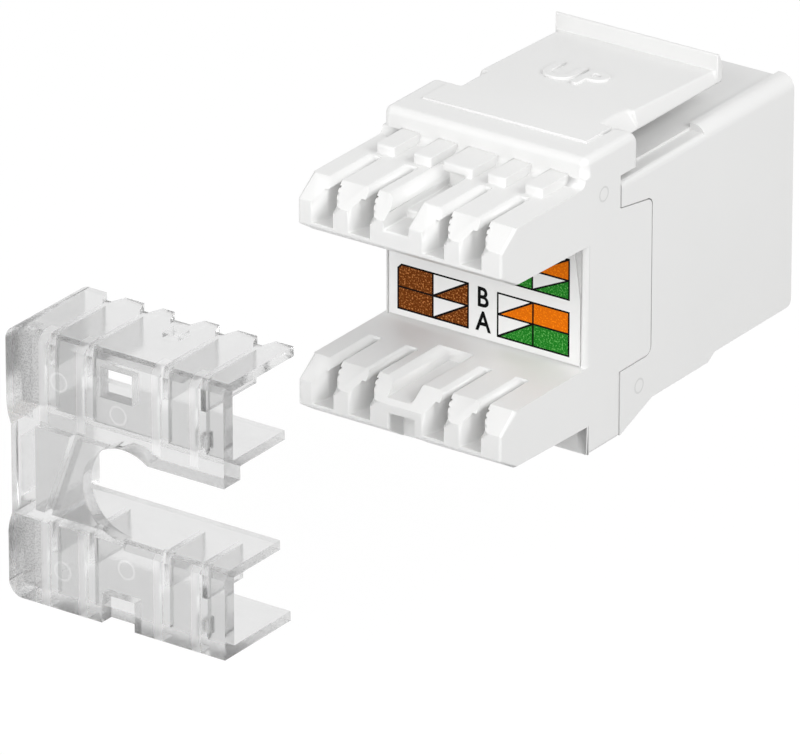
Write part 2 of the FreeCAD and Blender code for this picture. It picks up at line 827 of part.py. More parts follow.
def make_fork(number, centre, top):
    """One blade contact: a fork whose slit cuts into a wire, and a tail to the board."""
    body = new_body("idc_contact_%d" % number)
    middle = fork_middle(centre)
    low, high = fork_level(top)
    half = sizes.forkWidth / 2
    slit = sizes.forkSlit / 2
    tail = sizes.tailWidth / 2
    front = wall_face - sizes.forkReach
    crotch = front + sizes.forkSlitLength
    outline = draw(body, "fork_outline_%d" % number, "XY_Plane", [[
        (middle - half, wall_face),
        (middle - half, front),
        (middle - slit - sizes.forkPoint / 4, front),
        (middle - slit, front + sizes.forkPoint),
        (middle - slit, crotch, slit, -1),
        (middle, crotch + slit, slit, -1),
        (middle + slit, crotch),
        (middle + slit, front + sizes.forkPoint),
        (middle + slit + sizes.forkPoint / 4, front),
        (middle + half, front),
        (middle + half, wall_face),
        (middle + tail, wall_face),
        (middle + tail, board_back),
        (middle - tail, board_back),
        (middle - tail, wall_face)]], lift=low)
    pad(body, outline, "fork_%d" % number, sizes.forkThick)
    return body


def make_wiring_label():
    """Printed label that lies in the recess between the combs, its top right corner cut."""
    body = new_body("wiring_label")
    half = sizes.labelWidth / 2
    back = wall_face + sizes.labelInset
    low = comb_tops["lower"] + sizes.labelGap
    high = comb_tops["upper"] - sizes.combThick - sizes.labelGap
    outline = draw(body, "label_outline", "XZ_Plane", [[
        (-half, low), (half, low), (half, high - sizes.labelCutDrop),
        (half - sizes.labelCut, high), (-half, high)]], lift=-back)
    pad(body, outline, "label", sizes.labelThick)
    return body


def make_clear_cap():
    """Clear cap that presses the wires into the combs, drawn back from them at rest."""
    body = new_body("clear_cap")
    inner_face = comb_tip - sizes.capWebGap - sizes.capTravel
    outer_face = inner_face - sizes.capWeb
    top = comb_tops["upper"] + sizes.capGap + sizes.capWall
    bottom = comb_tops["lower"] - sizes.combThick - sizes.capGap - sizes.capWall
    upper_floor = comb_tops["upper"] - sizes.combThick - sizes.capUnderGap - sizes.capWall
    lower_roof = comb_tops["lower"] + sizes.capUnderGap + sizes.capWall
    ledge = upper_floor - sizes.capLedge
    left = -half_width - sizes.capGap - sizes.capSpine
    add_cap_sections(body, left, outer_face, inner_face, (ledge, upper_floor, top),
                     (bottom, lower_roof))
    add_cap_spine(body, left, outer_face, (upper_floor, top), (bottom, lower_roof))
    add_cap_middle(body, left, outer_face, inner_face, lower_roof, ledge,
                   (bottom + sizes.capWall, top - sizes.capWall))
    upper_span = (upper_floor + sizes.capWall, top - sizes.capWall)
    lower_span = (bottom + sizes.capWall, lower_roof - sizes.capWall)
    for name, span in (("upper", upper_span), ("lower", lower_span)):
        far_edge = outer_face + (sizes.capDepth if name == "upper" else sizes.capRoofDepth)
        add_cap_fins(body, name, inner_face, far_edge - sizes.capFinSet, span)
    cut_cap_windows(body, outer_face, inner_face, top, bottom)
    cut_cap_valleys(body, outer_face + sizes.capDepth, top)
    return body


def add_cap_sections(body, left, outer_face, inner_face, upper, lower):
    """The two boxes of the cap as side views: a web with a plate above and below the comb."""
    ledge, floor, top = upper
    bottom, roof = lower
    wall = sizes.capWall
    run_length = half_width - (left + sizes.capRound)
    upper_box = draw(body, "upper_box_outline", "YZ_Plane", [[
        (outer_face, ledge),
        (outer_face + sizes.capLedgeDepth, ledge),
        (outer_face + sizes.capLedgeDepth, floor),
        (outer_face + sizes.capUpperDepth, floor),
        (outer_face + sizes.capUpperDepth, floor + wall),
        (inner_face, floor + wall),
        (inner_face, top - wall),
        (outer_face + sizes.capDepth, top - wall),
        (outer_face + sizes.capDepth, top),
        (outer_face + sizes.capBevel, top),
        (outer_face, top - sizes.capBevel)]], lift=left + sizes.capRound)
    pad(body, upper_box, "upper_box", run_length)
    lower_box = draw(body, "lower_box_outline", "YZ_Plane", [[
        (outer_face, bottom),
        (outer_face + sizes.capBottomDepth, bottom),
        (outer_face + sizes.capBottomDepth, bottom + wall),
        (inner_face, bottom + wall),
        (inner_face, roof - wall),
        (outer_face + sizes.capRoofDepth, roof - wall),
        (outer_face + sizes.capRoofDepth, roof),
        (outer_face + sizes.capBevel, roof),
        (outer_face, roof - sizes.capBevel)]], lift=left + sizes.capRound)
    pad(body, lower_box, "lower_box", run_length)


def add_cap_spine(body, left, outer_face, upper, lower):
    """Left end of the cap: round corners, box walls and a waist between the boxes."""
    floor, top = upper
    bottom, roof = lower
    wall = sizes.capWall
    round_end = left + sizes.capRound
    wall_end = left + sizes.capSpine
    thick_end = left + sizes.capSpineMiddle
    waist = left + sizes.capWaist
    run = sizes.capWaistRun
    bend = (run * run + sizes.capWaist * sizes.capWaist) / (sizes.capWaist * 4)
    high = sizes.capWaistUp
    low = -sizes.capWaistDown
    spine = draw(body, "spine_outline", "XZ_Plane", [[
        (round_end, bottom), (round_end, bottom + wall), (wall_end, bottom + wall),
        (wall_end, roof - wall), (round_end, roof - wall), (thick_end, roof - wall),
        (thick_end, floor + wall), (wall_end, floor + wall),
        (wall_end, top - wall), (round_end, top - wall),
        (round_end, top, sizes.capRound, 1),
        (left, top - sizes.capRound),
        (left, high, bend, 1),
        (left + sizes.capWaist / 2, high - run / 2, bend, -1),
        (waist, high - run),
        (waist, low + run, bend, -1),
        (left + sizes.capWaist / 2, low + run / 2, bend, 1),
        (left, low),
        (left, bottom + sizes.capRound, sizes.capRound, 1)]], lift=-outer_face)
    pad(body, spine, "spine", sizes.capDepth, back=True)


def add_cap_middle(body, left, outer_face, inner_face, roof, ledge, box_span):
    """Web beside the spine and between the boxes, its gusset, and the cable opening."""
    radius = sizes.capHoleRadius
    across = sizes.capHoleShift
    up = roof + radius
    block(body, "middle_web", (left + sizes.capRound, across), (outer_face, inner_face),
          (roof - sizes.capWall, ledge + sizes.capWall))
    block(body, "left_web", (left + sizes.capSpine / 2, left + sizes.capRound + sizes.capWall),
          (outer_face, inner_face), box_span)
    thick = sizes.capGussetThick
    gusset = draw(body, "gusset_outline", "XZ_Plane", [[
        (-sizes.capGussetLeft, roof), (-sizes.capGussetLeft + thick, roof),
        (-sizes.capGussetRight + thick, ledge), (-sizes.capGussetRight, ledge)]], lift=-inner_face)
    pad(body, gusset, "gusset", sizes.capGussetReach, back=True)
    rise = ledge - up
    side = math.sqrt(radius.number ** 2 - rise.number ** 2)
    meet = across + Size(side, "sqrt(%s^2 - %s^2)" % (radius.formula, rise.formula))
    opening = draw(body, "cable_outline", "XZ_Plane", [[
        (across, roof), (half_width, roof), (half_width, ledge),
        (meet, ledge, radius, 1),
        (across, up + radius, radius, 1),
        (across - radius, up, radius, 1)]], lift=-outer_face)
    pocket(body, opening, "cable_opening", sizes.capLedgeDepth)


def add_cap_fins(body, name, inner_face, fin_end, span):
    """Ribs on the web, fins that reach into the slots and a small tab beside the last one."""
    comb_top = comb_tops[name]
    low = comb_top - sizes.slotDepth + sizes.forkThick + sizes.forkGap * 2 + sizes.capFinGap
    middles = [fork_middle(centre) for centre in slot_centres()]
    rib_half = sizes.capRibWidth / 2
    ribs = draw(body, name + "_rib_outlines", "XZ_Plane",
                [rectangle(middle - rib_half, middle + rib_half, span[0], span[1])
                 for middle in middles], lift=-inner_face)
    pad(body, ribs, name + "_ribs", sizes.capRib, back=True)
    fin_half = sizes.capFin / 2
    fins = draw(body, name + "_fin_outlines", "XZ_Plane",
                [rectangle(middle - fin_half, middle + fin_half, low, span[1])
                 for middle in middles], lift=-inner_face)
    pad(body, fins, name + "_fins", fin_end - inner_face, back=True)
    tab_left = middles[-1] - sizes.capTabShift
    block(body, name + "_cap_tab", (tab_left, tab_left + sizes.capFin),
          (inner_face, inner_face + sizes.capTabReach), (span[0], span[0] + sizes.capTabRise))


def cut_cap_windows(body, outer_face, inner_face, top, bottom):
    """Square windows in the web, the lower one open below, and a hole in the top plate."""
    half = sizes.capWindowWidth / 2
    across = (-sizes.capWindowShift - half, -sizes.capWindowShift + half)
    window_top = top - sizes.capWindowSet
    block(body, "upper_window", across, (outer_face, inner_face),
          (window_top - sizes.capWindowHeight, window_top), cut=True)
    block(body, "lower_window", across, (outer_face, inner_face),
          (bottom, bottom + sizes.capWindowHeight), cut=True)
    hole_half = sizes.capPlateHole / 2
    hole_start = outer_face + sizes.capPlateHoleSet
    block(body, "plate_hole", (sizes.capPlateHoleShift - hole_half, sizes.capPlateHoleShift + hole_half),
          (hole_start, hole_start + sizes.capPlateHole), (top - sizes.capWall, top), cut=True)


def cut_cap_valleys(body, far_edge, top):
    """Valleys between the humps of the top plate, in front of the comb's raised blocks."""
    flare = sizes.capValleyFlare
    valleys = draw(body, "valley_outlines", "XY_Plane",
                   [[(left + flare, far_edge - sizes.capValley),
                     (right - flare, far_edge - sizes.capValley),
                     (right, far_edge), (left, far_edge)]
                    for left, right in root_block_spans()], lift=top)
    pocket(body, valleys, "valleys", sizes.capWall)


def check_document(bodies):
    """Stops where a feature failed or a sub-part has no sound shape."""
    doc.recompute()
    for thing in doc.Objects:
        if "Invalid" in thing.State or "Error" in thing.State:
            raise RuntimeError("feature failed: " + thing.Name)
    for body in bodies:
        if body.Shape.isNull() or not body.Shape.isValid():
            raise RuntimeError("no sound shape: " + body.Label)
        if len(body.Shape.Solids) != 1:
            raise RuntimeError("%s has %d solids" % (body.Label, len(body.Shape.Solids)))


def make_all():
    """Every piece of the jack, in the order in which it is put together."""
    bodies = [make_front_housing(), make_rear_housing(), make_contact_insert(), make_circuit_board()]
    for number, middle in enumerate(spring_places(), start=1):
        bodies.append(make_spring_contact(number, middle))
    number = 0
    for name in COMB_NAMES:
        for centre in slot_centres():
            number += 1
            bodies.append(make_fork(number, centre, comb_tops[name]))
    bodies.append(make_wiring_label())
    bodies.append(make_clear_cap())
    return bodies


pieces = make_all()
check_document(pieces)
os.makedirs("parts", exist_ok=True)
for piece in pieces:
    piece.Shape.exportStep("parts/%s.step" % piece.Label)
    print(piece.Label, round(piece.Shape.Volume, 2))
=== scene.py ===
import bmesh
import bpy
import json
import math
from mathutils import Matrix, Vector


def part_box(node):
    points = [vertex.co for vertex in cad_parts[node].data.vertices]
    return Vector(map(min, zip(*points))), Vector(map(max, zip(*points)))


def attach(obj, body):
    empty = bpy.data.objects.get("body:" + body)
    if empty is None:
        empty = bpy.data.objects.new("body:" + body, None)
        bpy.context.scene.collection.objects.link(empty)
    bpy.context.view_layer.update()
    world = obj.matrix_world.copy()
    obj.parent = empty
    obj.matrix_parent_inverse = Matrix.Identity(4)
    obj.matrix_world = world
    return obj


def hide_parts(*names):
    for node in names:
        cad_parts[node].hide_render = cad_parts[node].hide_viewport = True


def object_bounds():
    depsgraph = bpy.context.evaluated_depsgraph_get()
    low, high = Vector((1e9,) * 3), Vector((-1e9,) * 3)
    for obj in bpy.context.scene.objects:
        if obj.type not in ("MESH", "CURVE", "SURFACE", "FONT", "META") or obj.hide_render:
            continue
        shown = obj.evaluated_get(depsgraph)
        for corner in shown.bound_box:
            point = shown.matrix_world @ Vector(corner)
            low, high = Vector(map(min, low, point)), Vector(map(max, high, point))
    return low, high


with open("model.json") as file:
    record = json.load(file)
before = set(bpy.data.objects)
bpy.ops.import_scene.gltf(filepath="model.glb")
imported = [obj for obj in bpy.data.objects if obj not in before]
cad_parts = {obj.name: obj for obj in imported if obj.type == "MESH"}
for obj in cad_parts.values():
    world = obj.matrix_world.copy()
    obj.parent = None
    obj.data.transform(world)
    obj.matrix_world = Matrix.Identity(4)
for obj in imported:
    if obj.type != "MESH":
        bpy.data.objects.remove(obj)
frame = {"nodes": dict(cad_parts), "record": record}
cadLow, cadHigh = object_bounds()
mm = 0.001
print("frame loaded with", len(frame["nodes"]), "nodes")


# small helpers for modelling and for shaders

def deselectAll():
    if bpy.context.mode != "OBJECT":
        bpy.ops.object.mode_set(mode="OBJECT")
    bpy.ops.object.select_all(action="DESELECT")


def makeActive(piece):
    deselectAll()
    piece.select_set(True)
    bpy.context.view_layer.objects.active = piece


def finishPiece(piece, body, material):
    makeActive(piece)
    bpy.ops.object.transform_apply(location=True, rotation=True, scale=True)
    piece.data.materials.clear()
    piece.data.materials.append(material)
    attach(piece, body)


def grey(level):
    return (level, level, level, 1.0)


class Wire:
    # a shader value that takes part in Python sums and adds its own Math nodes
    def __init__(self, tree, socket):
        self.tree = tree
        self.socket = socket

    def math(self, operation, other=None, swap=False):
        node = self.tree.nodes.new("ShaderNodeMath")
        node.operation = operation
        first, second = (other, self) if swap else (self, other)
        for place, value in enumerate((first, second)):
            if value is None:
                continue
            if isinstance(value, Wire):
                self.tree.links.new(value.socket, node.inputs[place])
            else:
                node.inputs[place].default_value = value
        return Wire(self.tree, node.outputs[0])

    def __add__(self, other): return self.math("ADD", other)
    def __radd__(self, other): return self.math("ADD", other, True)
    def __sub__(self, other): return self.math("SUBTRACT", other)
    def __rsub__(self, other): return self.math("SUBTRACT", other, True)
    def __mul__(self, other): return self.math("MULTIPLY", other)
    def __rmul__(self, other): return self.math("MULTIPLY", other, True)
    def __truediv__(self, other): return self.math("DIVIDE", other)
    def __rtruediv__(self, other): return self.math("DIVIDE", other, True)
    def __gt__(self, other): return self.math("GREATER_THAN", other)
    def __lt__(self, other): return self.math("LESS_THAN", other)
    def __abs__(self): return self.math("ABSOLUTE")

    def between(self, low, high):
        return (self > low) * (self < high)

    def either(self, other):
        return self.math("MAXIMUM", other)

    def lesser(self, other):
        return self.math("MINIMUM", other)


class Nodes:
    # one node tree and the way to add nodes to it
    def __init__(self, tree):
        self.tree = tree

    def add(self, kind, settings=None, values=None, output=0):
        node = self.tree.nodes.new(kind)
        for key, value in (settings or {}).items():
            setattr(node, key, value)
        for key, value in (values or {}).items():
            if isinstance(value, Wire):
                self.tree.links.new(value.socket, node.inputs[key])
            else:
                node.inputs[key].default_value = value
        return Wire(self.tree, node.outputs[output])

    def outputsOf(self, wire, names):
        return [Wire(self.tree, wire.socket.node.outputs[name]) for name in names]


class Finish(Nodes):
    # one material and the nodes that it needs
    def __init__(self, name):
        self.material = bpy.data.materials.new(name)
        self.material.use_nodes = True
        super().__init__(self.material.node_tree)
        self.shader = self.tree.nodes["Principled BSDF"]

    def where(self):
        return self.add("ShaderNodeTexCoord", output="Object")

    def places(self, where):
        # across, along and up, in mm
        split = self.add("ShaderNodeSeparateXYZ", None, {"Vector": where})
        return [axis / mm for axis in self.outputsOf(split, "XYZ")]

    def noise(self, where, scale, detail):
        values = {"Vector": where, "Scale": scale, "Detail": detail}
        return self.add("ShaderNodeTexNoise", None, values)

    def mixColours(self, mask, first, second):
        return self.add("ShaderNodeMix", {"data_type": "RGBA"},
                        {0: mask, 6: first, 7: second}, output=2)

    def rings(self, across, up, setup):
        # the round marks that the mould's pins leave
        marks = None
        for placeAcross, placeUp in setup["markPlaces"]:
            aside, above = across - placeAcross, up - placeUp
            reach = (aside * aside + above * above).math("SQRT")
            ring = abs(reach - setup["markRadius"]) < setup["markLine"]
            marks = ring if marks is None else marks.either(ring)
        return marks

    def set(self, values):
        for name, value in values.items():
            if isinstance(value, Wire):
                self.tree.links.new(value.socket, self.shader.inputs[name])
            else:
                self.shader.inputs[name].default_value = value

    def bump(self, height, strength, distance):
        normal = self.add("ShaderNodeBump", None,
                          {"Strength": strength, "Distance": distance, "Height": height})
        self.set({"Normal": normal})


# finishes, with noises as scale and detail, bumps as strength and distance in metres,
# and roughness as the least and what the noise adds

whiteSetup = {
    "colour": (0.765, 0.765, 0.76, 1.0),
    "shade": (0.735, 0.735, 0.73, 1.0),
    # painted shade: the pins' ring marks are darkened in the colour to stand for the shade in
    # their shallow grooves
    "markPaintedShade": (0.52, 0.52, 0.515, 1.0),
    "markBlend": 0.5,
    "roughness": (0.29, 0.10),
    "ior": 1.46,
    "clouds": (160.0, 2.0),
    "grain": (9000.0, 2.0),
    "markPlaces": [(-20.4, 7.05), (-16.5, -6.75)],
    "markRadius": 0.44,
    "markLine": 0.06,
    "markSide": 7.0,                # mm across, the marks are right of it
    "grainRise": 0.20,
    "markSink": 5.0,
    "bump": (0.40, 0.00003),
}


def makeWhite():
    finish = Finish("whiteMoulding")
    where = finish.where()
    x, y, z = finish.places(where)
    cloud = finish.noise(where, *whiteSetup["clouds"])
    grain = finish.noise(where, *whiteSetup["grain"])
    marks = finish.rings(y, z, whiteSetup) * (x > whiteSetup["markSide"])
    plain = finish.mixColours(cloud, whiteSetup["shade"], whiteSetup["colour"])
    # the ring marks get painted shade in the colour, besides their real sunken bump
    markPaintedShadeMask = marks * whiteSetup["markBlend"]
    smooth, added = whiteSetup["roughness"]
    finish.set({
        "Base Color": finish.mixColours(markPaintedShadeMask, plain, whiteSetup["markPaintedShade"]),
        "Roughness": cloud * added + smooth,
        "IOR": whiteSetup["ior"],
    })
    height = grain * whiteSetup["grainRise"] - marks * whiteSetup["markSink"]
    finish.bump(height, *whiteSetup["bump"])
    return finish.material


clearSetup = {
    "colour": grey(0.78),
    "paler": grey(0.83),
    "paintedHighlight": grey(1.0),            # painted highlight on the ribs and the pins' marks
    "dots": grey(0.48),
    "roughness": 0.20,
    "bandRoughness": 0.14,          # added on the matt bands
    "ribRoughness": 0.20,           # added on the ribs
    "ior": 1.20,
    "waves": (700.0, 1.0),
    "frost": (10000.0, 1.0),
    "frostLevel": 0.52,             # noise above this is a dot
    "upperBox": 3.4,                # mm, the cap's boxes lie above this
    "lowerBox": -2.9,               # and below this
    "band": (-7.5, -6.1),           # mm across, the matt band beside the spine
    "bandReach": 1.2,               # mm behind the outer face, as are the next two
    "ribReach": 1.3,
    "markReach": 0.1,
    "ribMiddles": (3.96, 1.32),     # ribs at 3.96 mm either way, 1.32 mm to each side
    "ribShift": 0.085,
    "ribHalf": 0.30,
    "markPlaces": [(-4.25, 6.15), (-0.1, 5.17), (-4.15, -5.67), (0.37, -4.37)],
    "markRadius": 0.55,
    "markLine": 0.07,
    "waveRise": 0.6,
    "frostRise": 1.2,
    "markSink": 0.8,
    "bump": (0.35, 0.00006),
}


def makeClear():
    finish = Finish("clearMoulding")
    where = finish.where()
    x, y, z = finish.places(where)
    wave = finish.noise(where, *clearSetup["waves"])
    frost = finish.noise(where, *clearSetup["frost"])
    inBoxes = (z > clearSetup["upperBox"]).either(z < clearSetup["lowerBox"])
    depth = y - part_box("clear_cap")[0].y / mm
    band = x.between(*clearSetup["band"]) * (depth < clearSetup["bandReach"]) * inBoxes
    far, near = clearSetup["ribMiddles"]
    offRib = abs(abs(abs(x + clearSetup["ribShift"]) - far) - near)
    rib = (offRib < clearSetup["ribHalf"]) * (depth < clearSetup["ribReach"]) * inBoxes
    marks = finish.rings(x, z, clearSetup) * (depth < clearSetup["markReach"])
    plain = finish.mixColours(wave, clearSetup["colour"], clearSetup["paler"])
    dots = band * (frost > clearSetup["frostLevel"])
    dotted = finish.mixColours(dots, plain, clearSetup["dots"])
    matt = band * clearSetup["bandRoughness"] + rib * clearSetup["ribRoughness"]
    finish.set({
        # the ribs and the pins' marks get a painted highlight: their colour is set to plain
        # white
        "Base Color": finish.mixColours(rib.either(marks), dotted, clearSetup["paintedHighlight"]),
        "Roughness": matt + clearSetup["roughness"],
        "IOR": clearSetup["ior"],
        "Transmission Weight": 1.0,
    })
    height = wave * clearSetup["waveRise"] + band * frost * clearSetup["frostRise"]
    height = height - marks * clearSetup["markSink"]
    finish.bump(height, *clearSetup["bump"])
    return finish.material


labelSetup = {
    "film": (0.84, 0.84, 0.835, 1.0),
    "ink": grey(0.003),
    "line": 0.06,                   # mm, half of a line's width
    "slopeLine": 0.85,              # the sloping lines' share of it
    "cutLine": 1.4,                 # the same for the line along a cut corner
    # left, split, right, bottom, row, top, colours from the top row down, solid half, cut
    "charts": [
        (-6.20, -3.69, -1.15, -3.02, -1.60, -0.15, ("brown", "brown"), "left", 0.26),
        (0.98, 3.50, 6.05, -3.02, -1.60, -0.22, ("orange", "green"), "right", 0.0),
        (0.98, 3.44, 6.05, 0.62, 1.84, 3.20, ("orange", "green"), "left", 0.0),
        (-6.20, -3.69, -1.15, 0.62, 1.84, 3.20, ("blue", "blue"), "right", 0.0),
    ],
    "inks": {                       # with the paler colour of their specks
        "brown": ((0.135, 0.032, 0.002, 1.0), (0.58, 0.21, 0.06, 1.0)),
        "orange": ((0.74, 0.150, 0.001, 1.0), (0.96, 0.27, 0.004, 1.0)),
        "green": ((0.012, 0.185, 0.014, 1.0), (0.13, 0.46, 0.10, 1.0)),
        "blue": ((0.010, 0.05, 0.30, 1.0), (0.08, 0.18, 0.55, 1.0)),
    },
    "specks": (9000.0, 2.0),
    "speckStart": 0.53,             # noise above this turns pale
    "speckRise": 8.0,               # and this is how fast
    "roughness": (0.48, 0.08),
    "shine": 0.05,
    "bump": (0.12, 0.00001),
}


def makeLabel():
    finish = Finish("labelFilm")
    where = finish.where()
    x, _, z = finish.places(where)
    speck = finish.noise(where, *labelSetup["specks"])
    glitter = (speck - labelSetup["speckStart"]) * labelSetup["speckRise"]
    glitter = glitter.either(0.0).lesser(1.0)
    line = labelSetup["line"]
    slopeLine, cutLine = line * labelSetup["slopeLine"], line * labelSetup["cutLine"]
    fields = {name: None for name in labelSetup["inks"]}
    drawn = None
    cutAway = None
    for left, split, right, bottom, row, top, colours, solid, cut in labelSetup["charts"]:
        start, end = (split, right) if solid == "left" else (left, split)
        for low, high, colour in ((row, top, colours[0]), (bottom, row, colours[1])):
            across = (x - start) / (end - start)
            down = (high - z) / (high - low)
            wedge = across + down - 1.0
            upright = z.between(low, high)
            half = x.between(left, split) if solid == "left" else x.between(split, right)
            field = upright * half.either(x.between(start, end) * (wedge > 0.0))
            old = fields[colour]
            fields[colour] = field if old is None else old.either(field)
            slope = upright * x.between(start, end) * (abs(wedge) < slopeLine)
            drawn = slope if drawn is None else drawn.either(slope)
        frameX = abs(x - left).lesser(abs(x - right)).lesser(abs(x - split))
        frameZ = abs(z - bottom).lesser(abs(z - top)).lesser(abs(z - row))
        inside = x.between(left - line, right + line) * z.between(bottom - line, top + line)
        corner = x - left + (top - z) - cut
        fence = (frameX < line).either(frameZ < line).either(abs(corner) < cutLine)
        drawn = drawn.either(inside * fence * (corner > -cutLine))
        outside = inside * (corner < 0.0)
        cutAway = outside if cutAway is None else cutAway.either(outside)
    colour = labelSetup["film"]
    for name, field in fields.items():
        inked = finish.mixColours(glitter, *labelSetup["inks"][name])
        colour = finish.mixColours(field * (1.0 - cutAway), colour, inked)
    smooth, added = labelSetup["roughness"]
    finish.set({
        "Base Color": finish.mixColours(drawn, colour, labelSetup["ink"]),
        "Roughness": speck * added + smooth,
        "Specular IOR Level": labelSetup["shine"],
    })
    finish.bump(speck, *labelSetup["bump"])
    return finish.material


plainSetup = {
    "giltSpring": {
        "colour": (0.80, 0.52, 0.16, 1.0), "paler": (0.90, 0.66, 0.26, 1.0),
        "clouds": (1500.0, 3.0), "roughness": (0.18, 0.12), "metal": 1.0, "shine": 0.5,
    },
    "tinnedBlade": {
        "colour": (0.56, 0.56, 0.57, 1.0), "paler": (0.72, 0.72, 0.73, 1.0),
        "clouds": (1800.0, 3.0), "roughness": (0.24, 0.12), "metal": 1.0, "shine": 0.5,
    },
    "boardLaminate": {
        "colour": (0.01, 0.10, 0.035, 1.0), "paler": (0.02, 0.14, 0.05, 1.0),
        "clouds": (900.0, 3.0), "roughness": (0.32, 0.12), "metal": 0.0, "shine": 0.5,
    },
    "insertMoulding": {
        "colour": (0.012, 0.012, 0.013, 1.0), "paler": (0.03, 0.03, 0.031, 1.0),
        "clouds": (1200.0, 3.0), "roughness": (0.44, 0.12), "metal": 0.0, "shine": 0.5,
    },
    "printInk": {
        "colour": grey(0.002), "paler": grey(0.005),
        "clouds": (3000.0, 3.0), "roughness": (0.44, 0.12), "metal": 0.0, "shine": 0.05,
    },
}
plainBump = (0.2, 0.00001)


def makePlain(name):
    setup = plainSetup[name]
    finish = Finish(name)
    cloud = finish.noise(finish.where(), *setup["clouds"])
    smooth, added = setup["roughness"]
    finish.set({
        "Base Color": finish.mixColours(cloud, setup["colour"], setup["paler"]),
        "Roughness": cloud * added + smooth,
        "Metallic": setup["metal"],
        "Specular IOR Level": setup["shine"],
    })
    finish.bump(cloud, *plainBump)
    return finish.material


finishes = {
    "white_moulding": makeWhite(),
    "clear_moulding": makeClear(),
    "label_film": makeLabel(),
    "gilt_spring": makePlain("giltSpring"),
    "tinned_blade": makePlain("tinnedBlade"),
    "board_laminate": makePlain("boardLaminate"),
    "insert_moulding": makePlain("insertMoulding"),
}
inkBlack = makePlain("printInk")
print("finishes made:", len(finishes) + 1)

slotOf = {row["node"]: row["material_slot"] for row in frame["record"]["subparts"]}
for nodeName, node in frame["nodes"].items():
    node.data.materials.clear()
    node.data.materials.append(finishes[slotOf[nodeName]])


# moulded pieces with their edges broken, made from copies of the solids

mouldings = {
    # edge is the width of a broken edge in mm, and edges shorter than least stay sharp
    # share is what a broken edge may take of the room beside it, None is one width for all
    "front_housing": {
        "name": "frontShell", "body": "jack", "edge": 0.11, "least": 0.6,
        "share": None, "flat": True,
    },
    "rear_housing": {
        "name": "rearShell", "body": "jack", "edge": 0.20, "least": 0.4,
        "share": 0.30, "flat": False,
    },
    "clear_cap": {
        "name": "capShell", "body": "cap", "edge": 0.12, "least": 0.5,
        "share": None, "flat": False,
    },
}
edgeSetup = {
    "merge": 0.000001,          # metres
    "flatAngle": 0.6,           # degrees, faces closer than this become one
    "sharpAngle": 32,           # edges over this are broken
    "smoothAngle": 40,
    "segments": 2,
}


def spanTo(point, start, end):
    # the distance from a point to a stretch between two others
    along = end - start
    share = max(0.0, min(1.0, (point - start).dot(along) / along.length_squared))
    return (point - start - along * share).length


def roomBeside(edge):
    # the least distance from an edge to the other corners and edges of its two faces
    first, second = edge.verts
    room = math.inf
    for face in edge.link_faces:
        for other in face.edges:
            ends = [corner for corner in other.verts if corner not in (first, second)]
            for corner in ends:
                room = min(room, spanTo(corner.co, first.co, second.co))
            if len(ends) == 2:
                room = min(room, spanTo(first.co, ends[0].co, ends[1].co),
                           spanTo(second.co, ends[0].co, ends[1].co))
    return room


def weighEdges(piece, setup):
    # a weight of 1 is an edge broken at its full width
    shape = bmesh.new()
    shape.from_mesh(piece.data)
    weight = shape.edges.layers.float.new("bevel_weight_edge")
    for edge in shape.edges:
        if len(edge.link_faces) < 2 or edge.calc_length() < setup["least"] * mm:
            continue
        if edge.calc_face_angle() > math.radians(edgeSetup["sharpAngle"]):
            edge[weight] = 1.0
            if setup["share"]:
                room = setup["share"] * roomBeside(edge) / (setup["edge"] * mm)
                edge[weight] = min(1.0, room)
    shape.to_mesh(piece.data)
    shape.free()


def breakEdges(nodeName, setup):
    piece = bpy.data.objects.new(setup["name"], frame["nodes"][nodeName].data.copy())
    bpy.context.scene.collection.objects.link(piece)
    makeActive(piece)
    bpy.ops.object.mode_set(mode="EDIT")
    bpy.ops.mesh.select_all(action="SELECT")
    bpy.ops.mesh.remove_doubles(threshold=edgeSetup["merge"])
    bpy.ops.mesh.dissolve_limited(angle_limit=math.radians(edgeSetup["flatAngle"]))
    bpy.ops.object.mode_set(mode="OBJECT")
    weighEdges(piece, setup)
    bpy.ops.object.modifier_add(type="BEVEL")
    bevel = piece.modifiers[-1]
    bevel.limit_method = "WEIGHT"
    bevel.width = setup["edge"] * mm
    bevel.segments = edgeSetup["segments"]
    bevel.use_clamp_overlap = setup["share"] is None
    bpy.ops.object.modifier_apply(modifier=bevel.name)
    if setup["flat"]:
        bpy.ops.object.shade_flat()
    else:
        bpy.ops.object.shade_smooth_by_angle(angle=math.radians(edgeSetup["smoothAngle"]))
        bpy.ops.object.modifier_add(type="WEIGHTED_NORMAL")
        piece.modifiers[-1].keep_sharp = True
        bpy.ops.object.modifier_apply(modifier=piece.modifiers[-1].name)
    finishPiece(piece, setup["body"], finishes[slotOf[nodeName]])
    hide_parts(nodeName)
    return piece


for nodeName, setup in mouldings.items():
    made = breakEdges(nodeName, setup)
    print("moulding", made.name, "has", len(made.data.polygons), "faces")


# raised letters on the latch arm and the two printed letters, sizes in mm

raisedSetup = {
    "text": "UP", "size": 3.35, "rise": 0.14, "bold": 0.04, "soft": 0.05, "steps": 4,
    "place": (-0.52, -12.2),        # across and along
    "backEdge": (-16.7, 10.0),      # ends of the arm's top, along and up
    "frontEdge": (-6.3, 9.6),
}
printSetup = {
    "letters": [("B", (-0.10, -0.86)), ("A", (-0.06, -2.42))],      # across and up
    "size": 1.80, "rise": 0.012, "bold": 0.032, "soft": 0.0, "steps": 4,
    "narrow": 0.86,
}


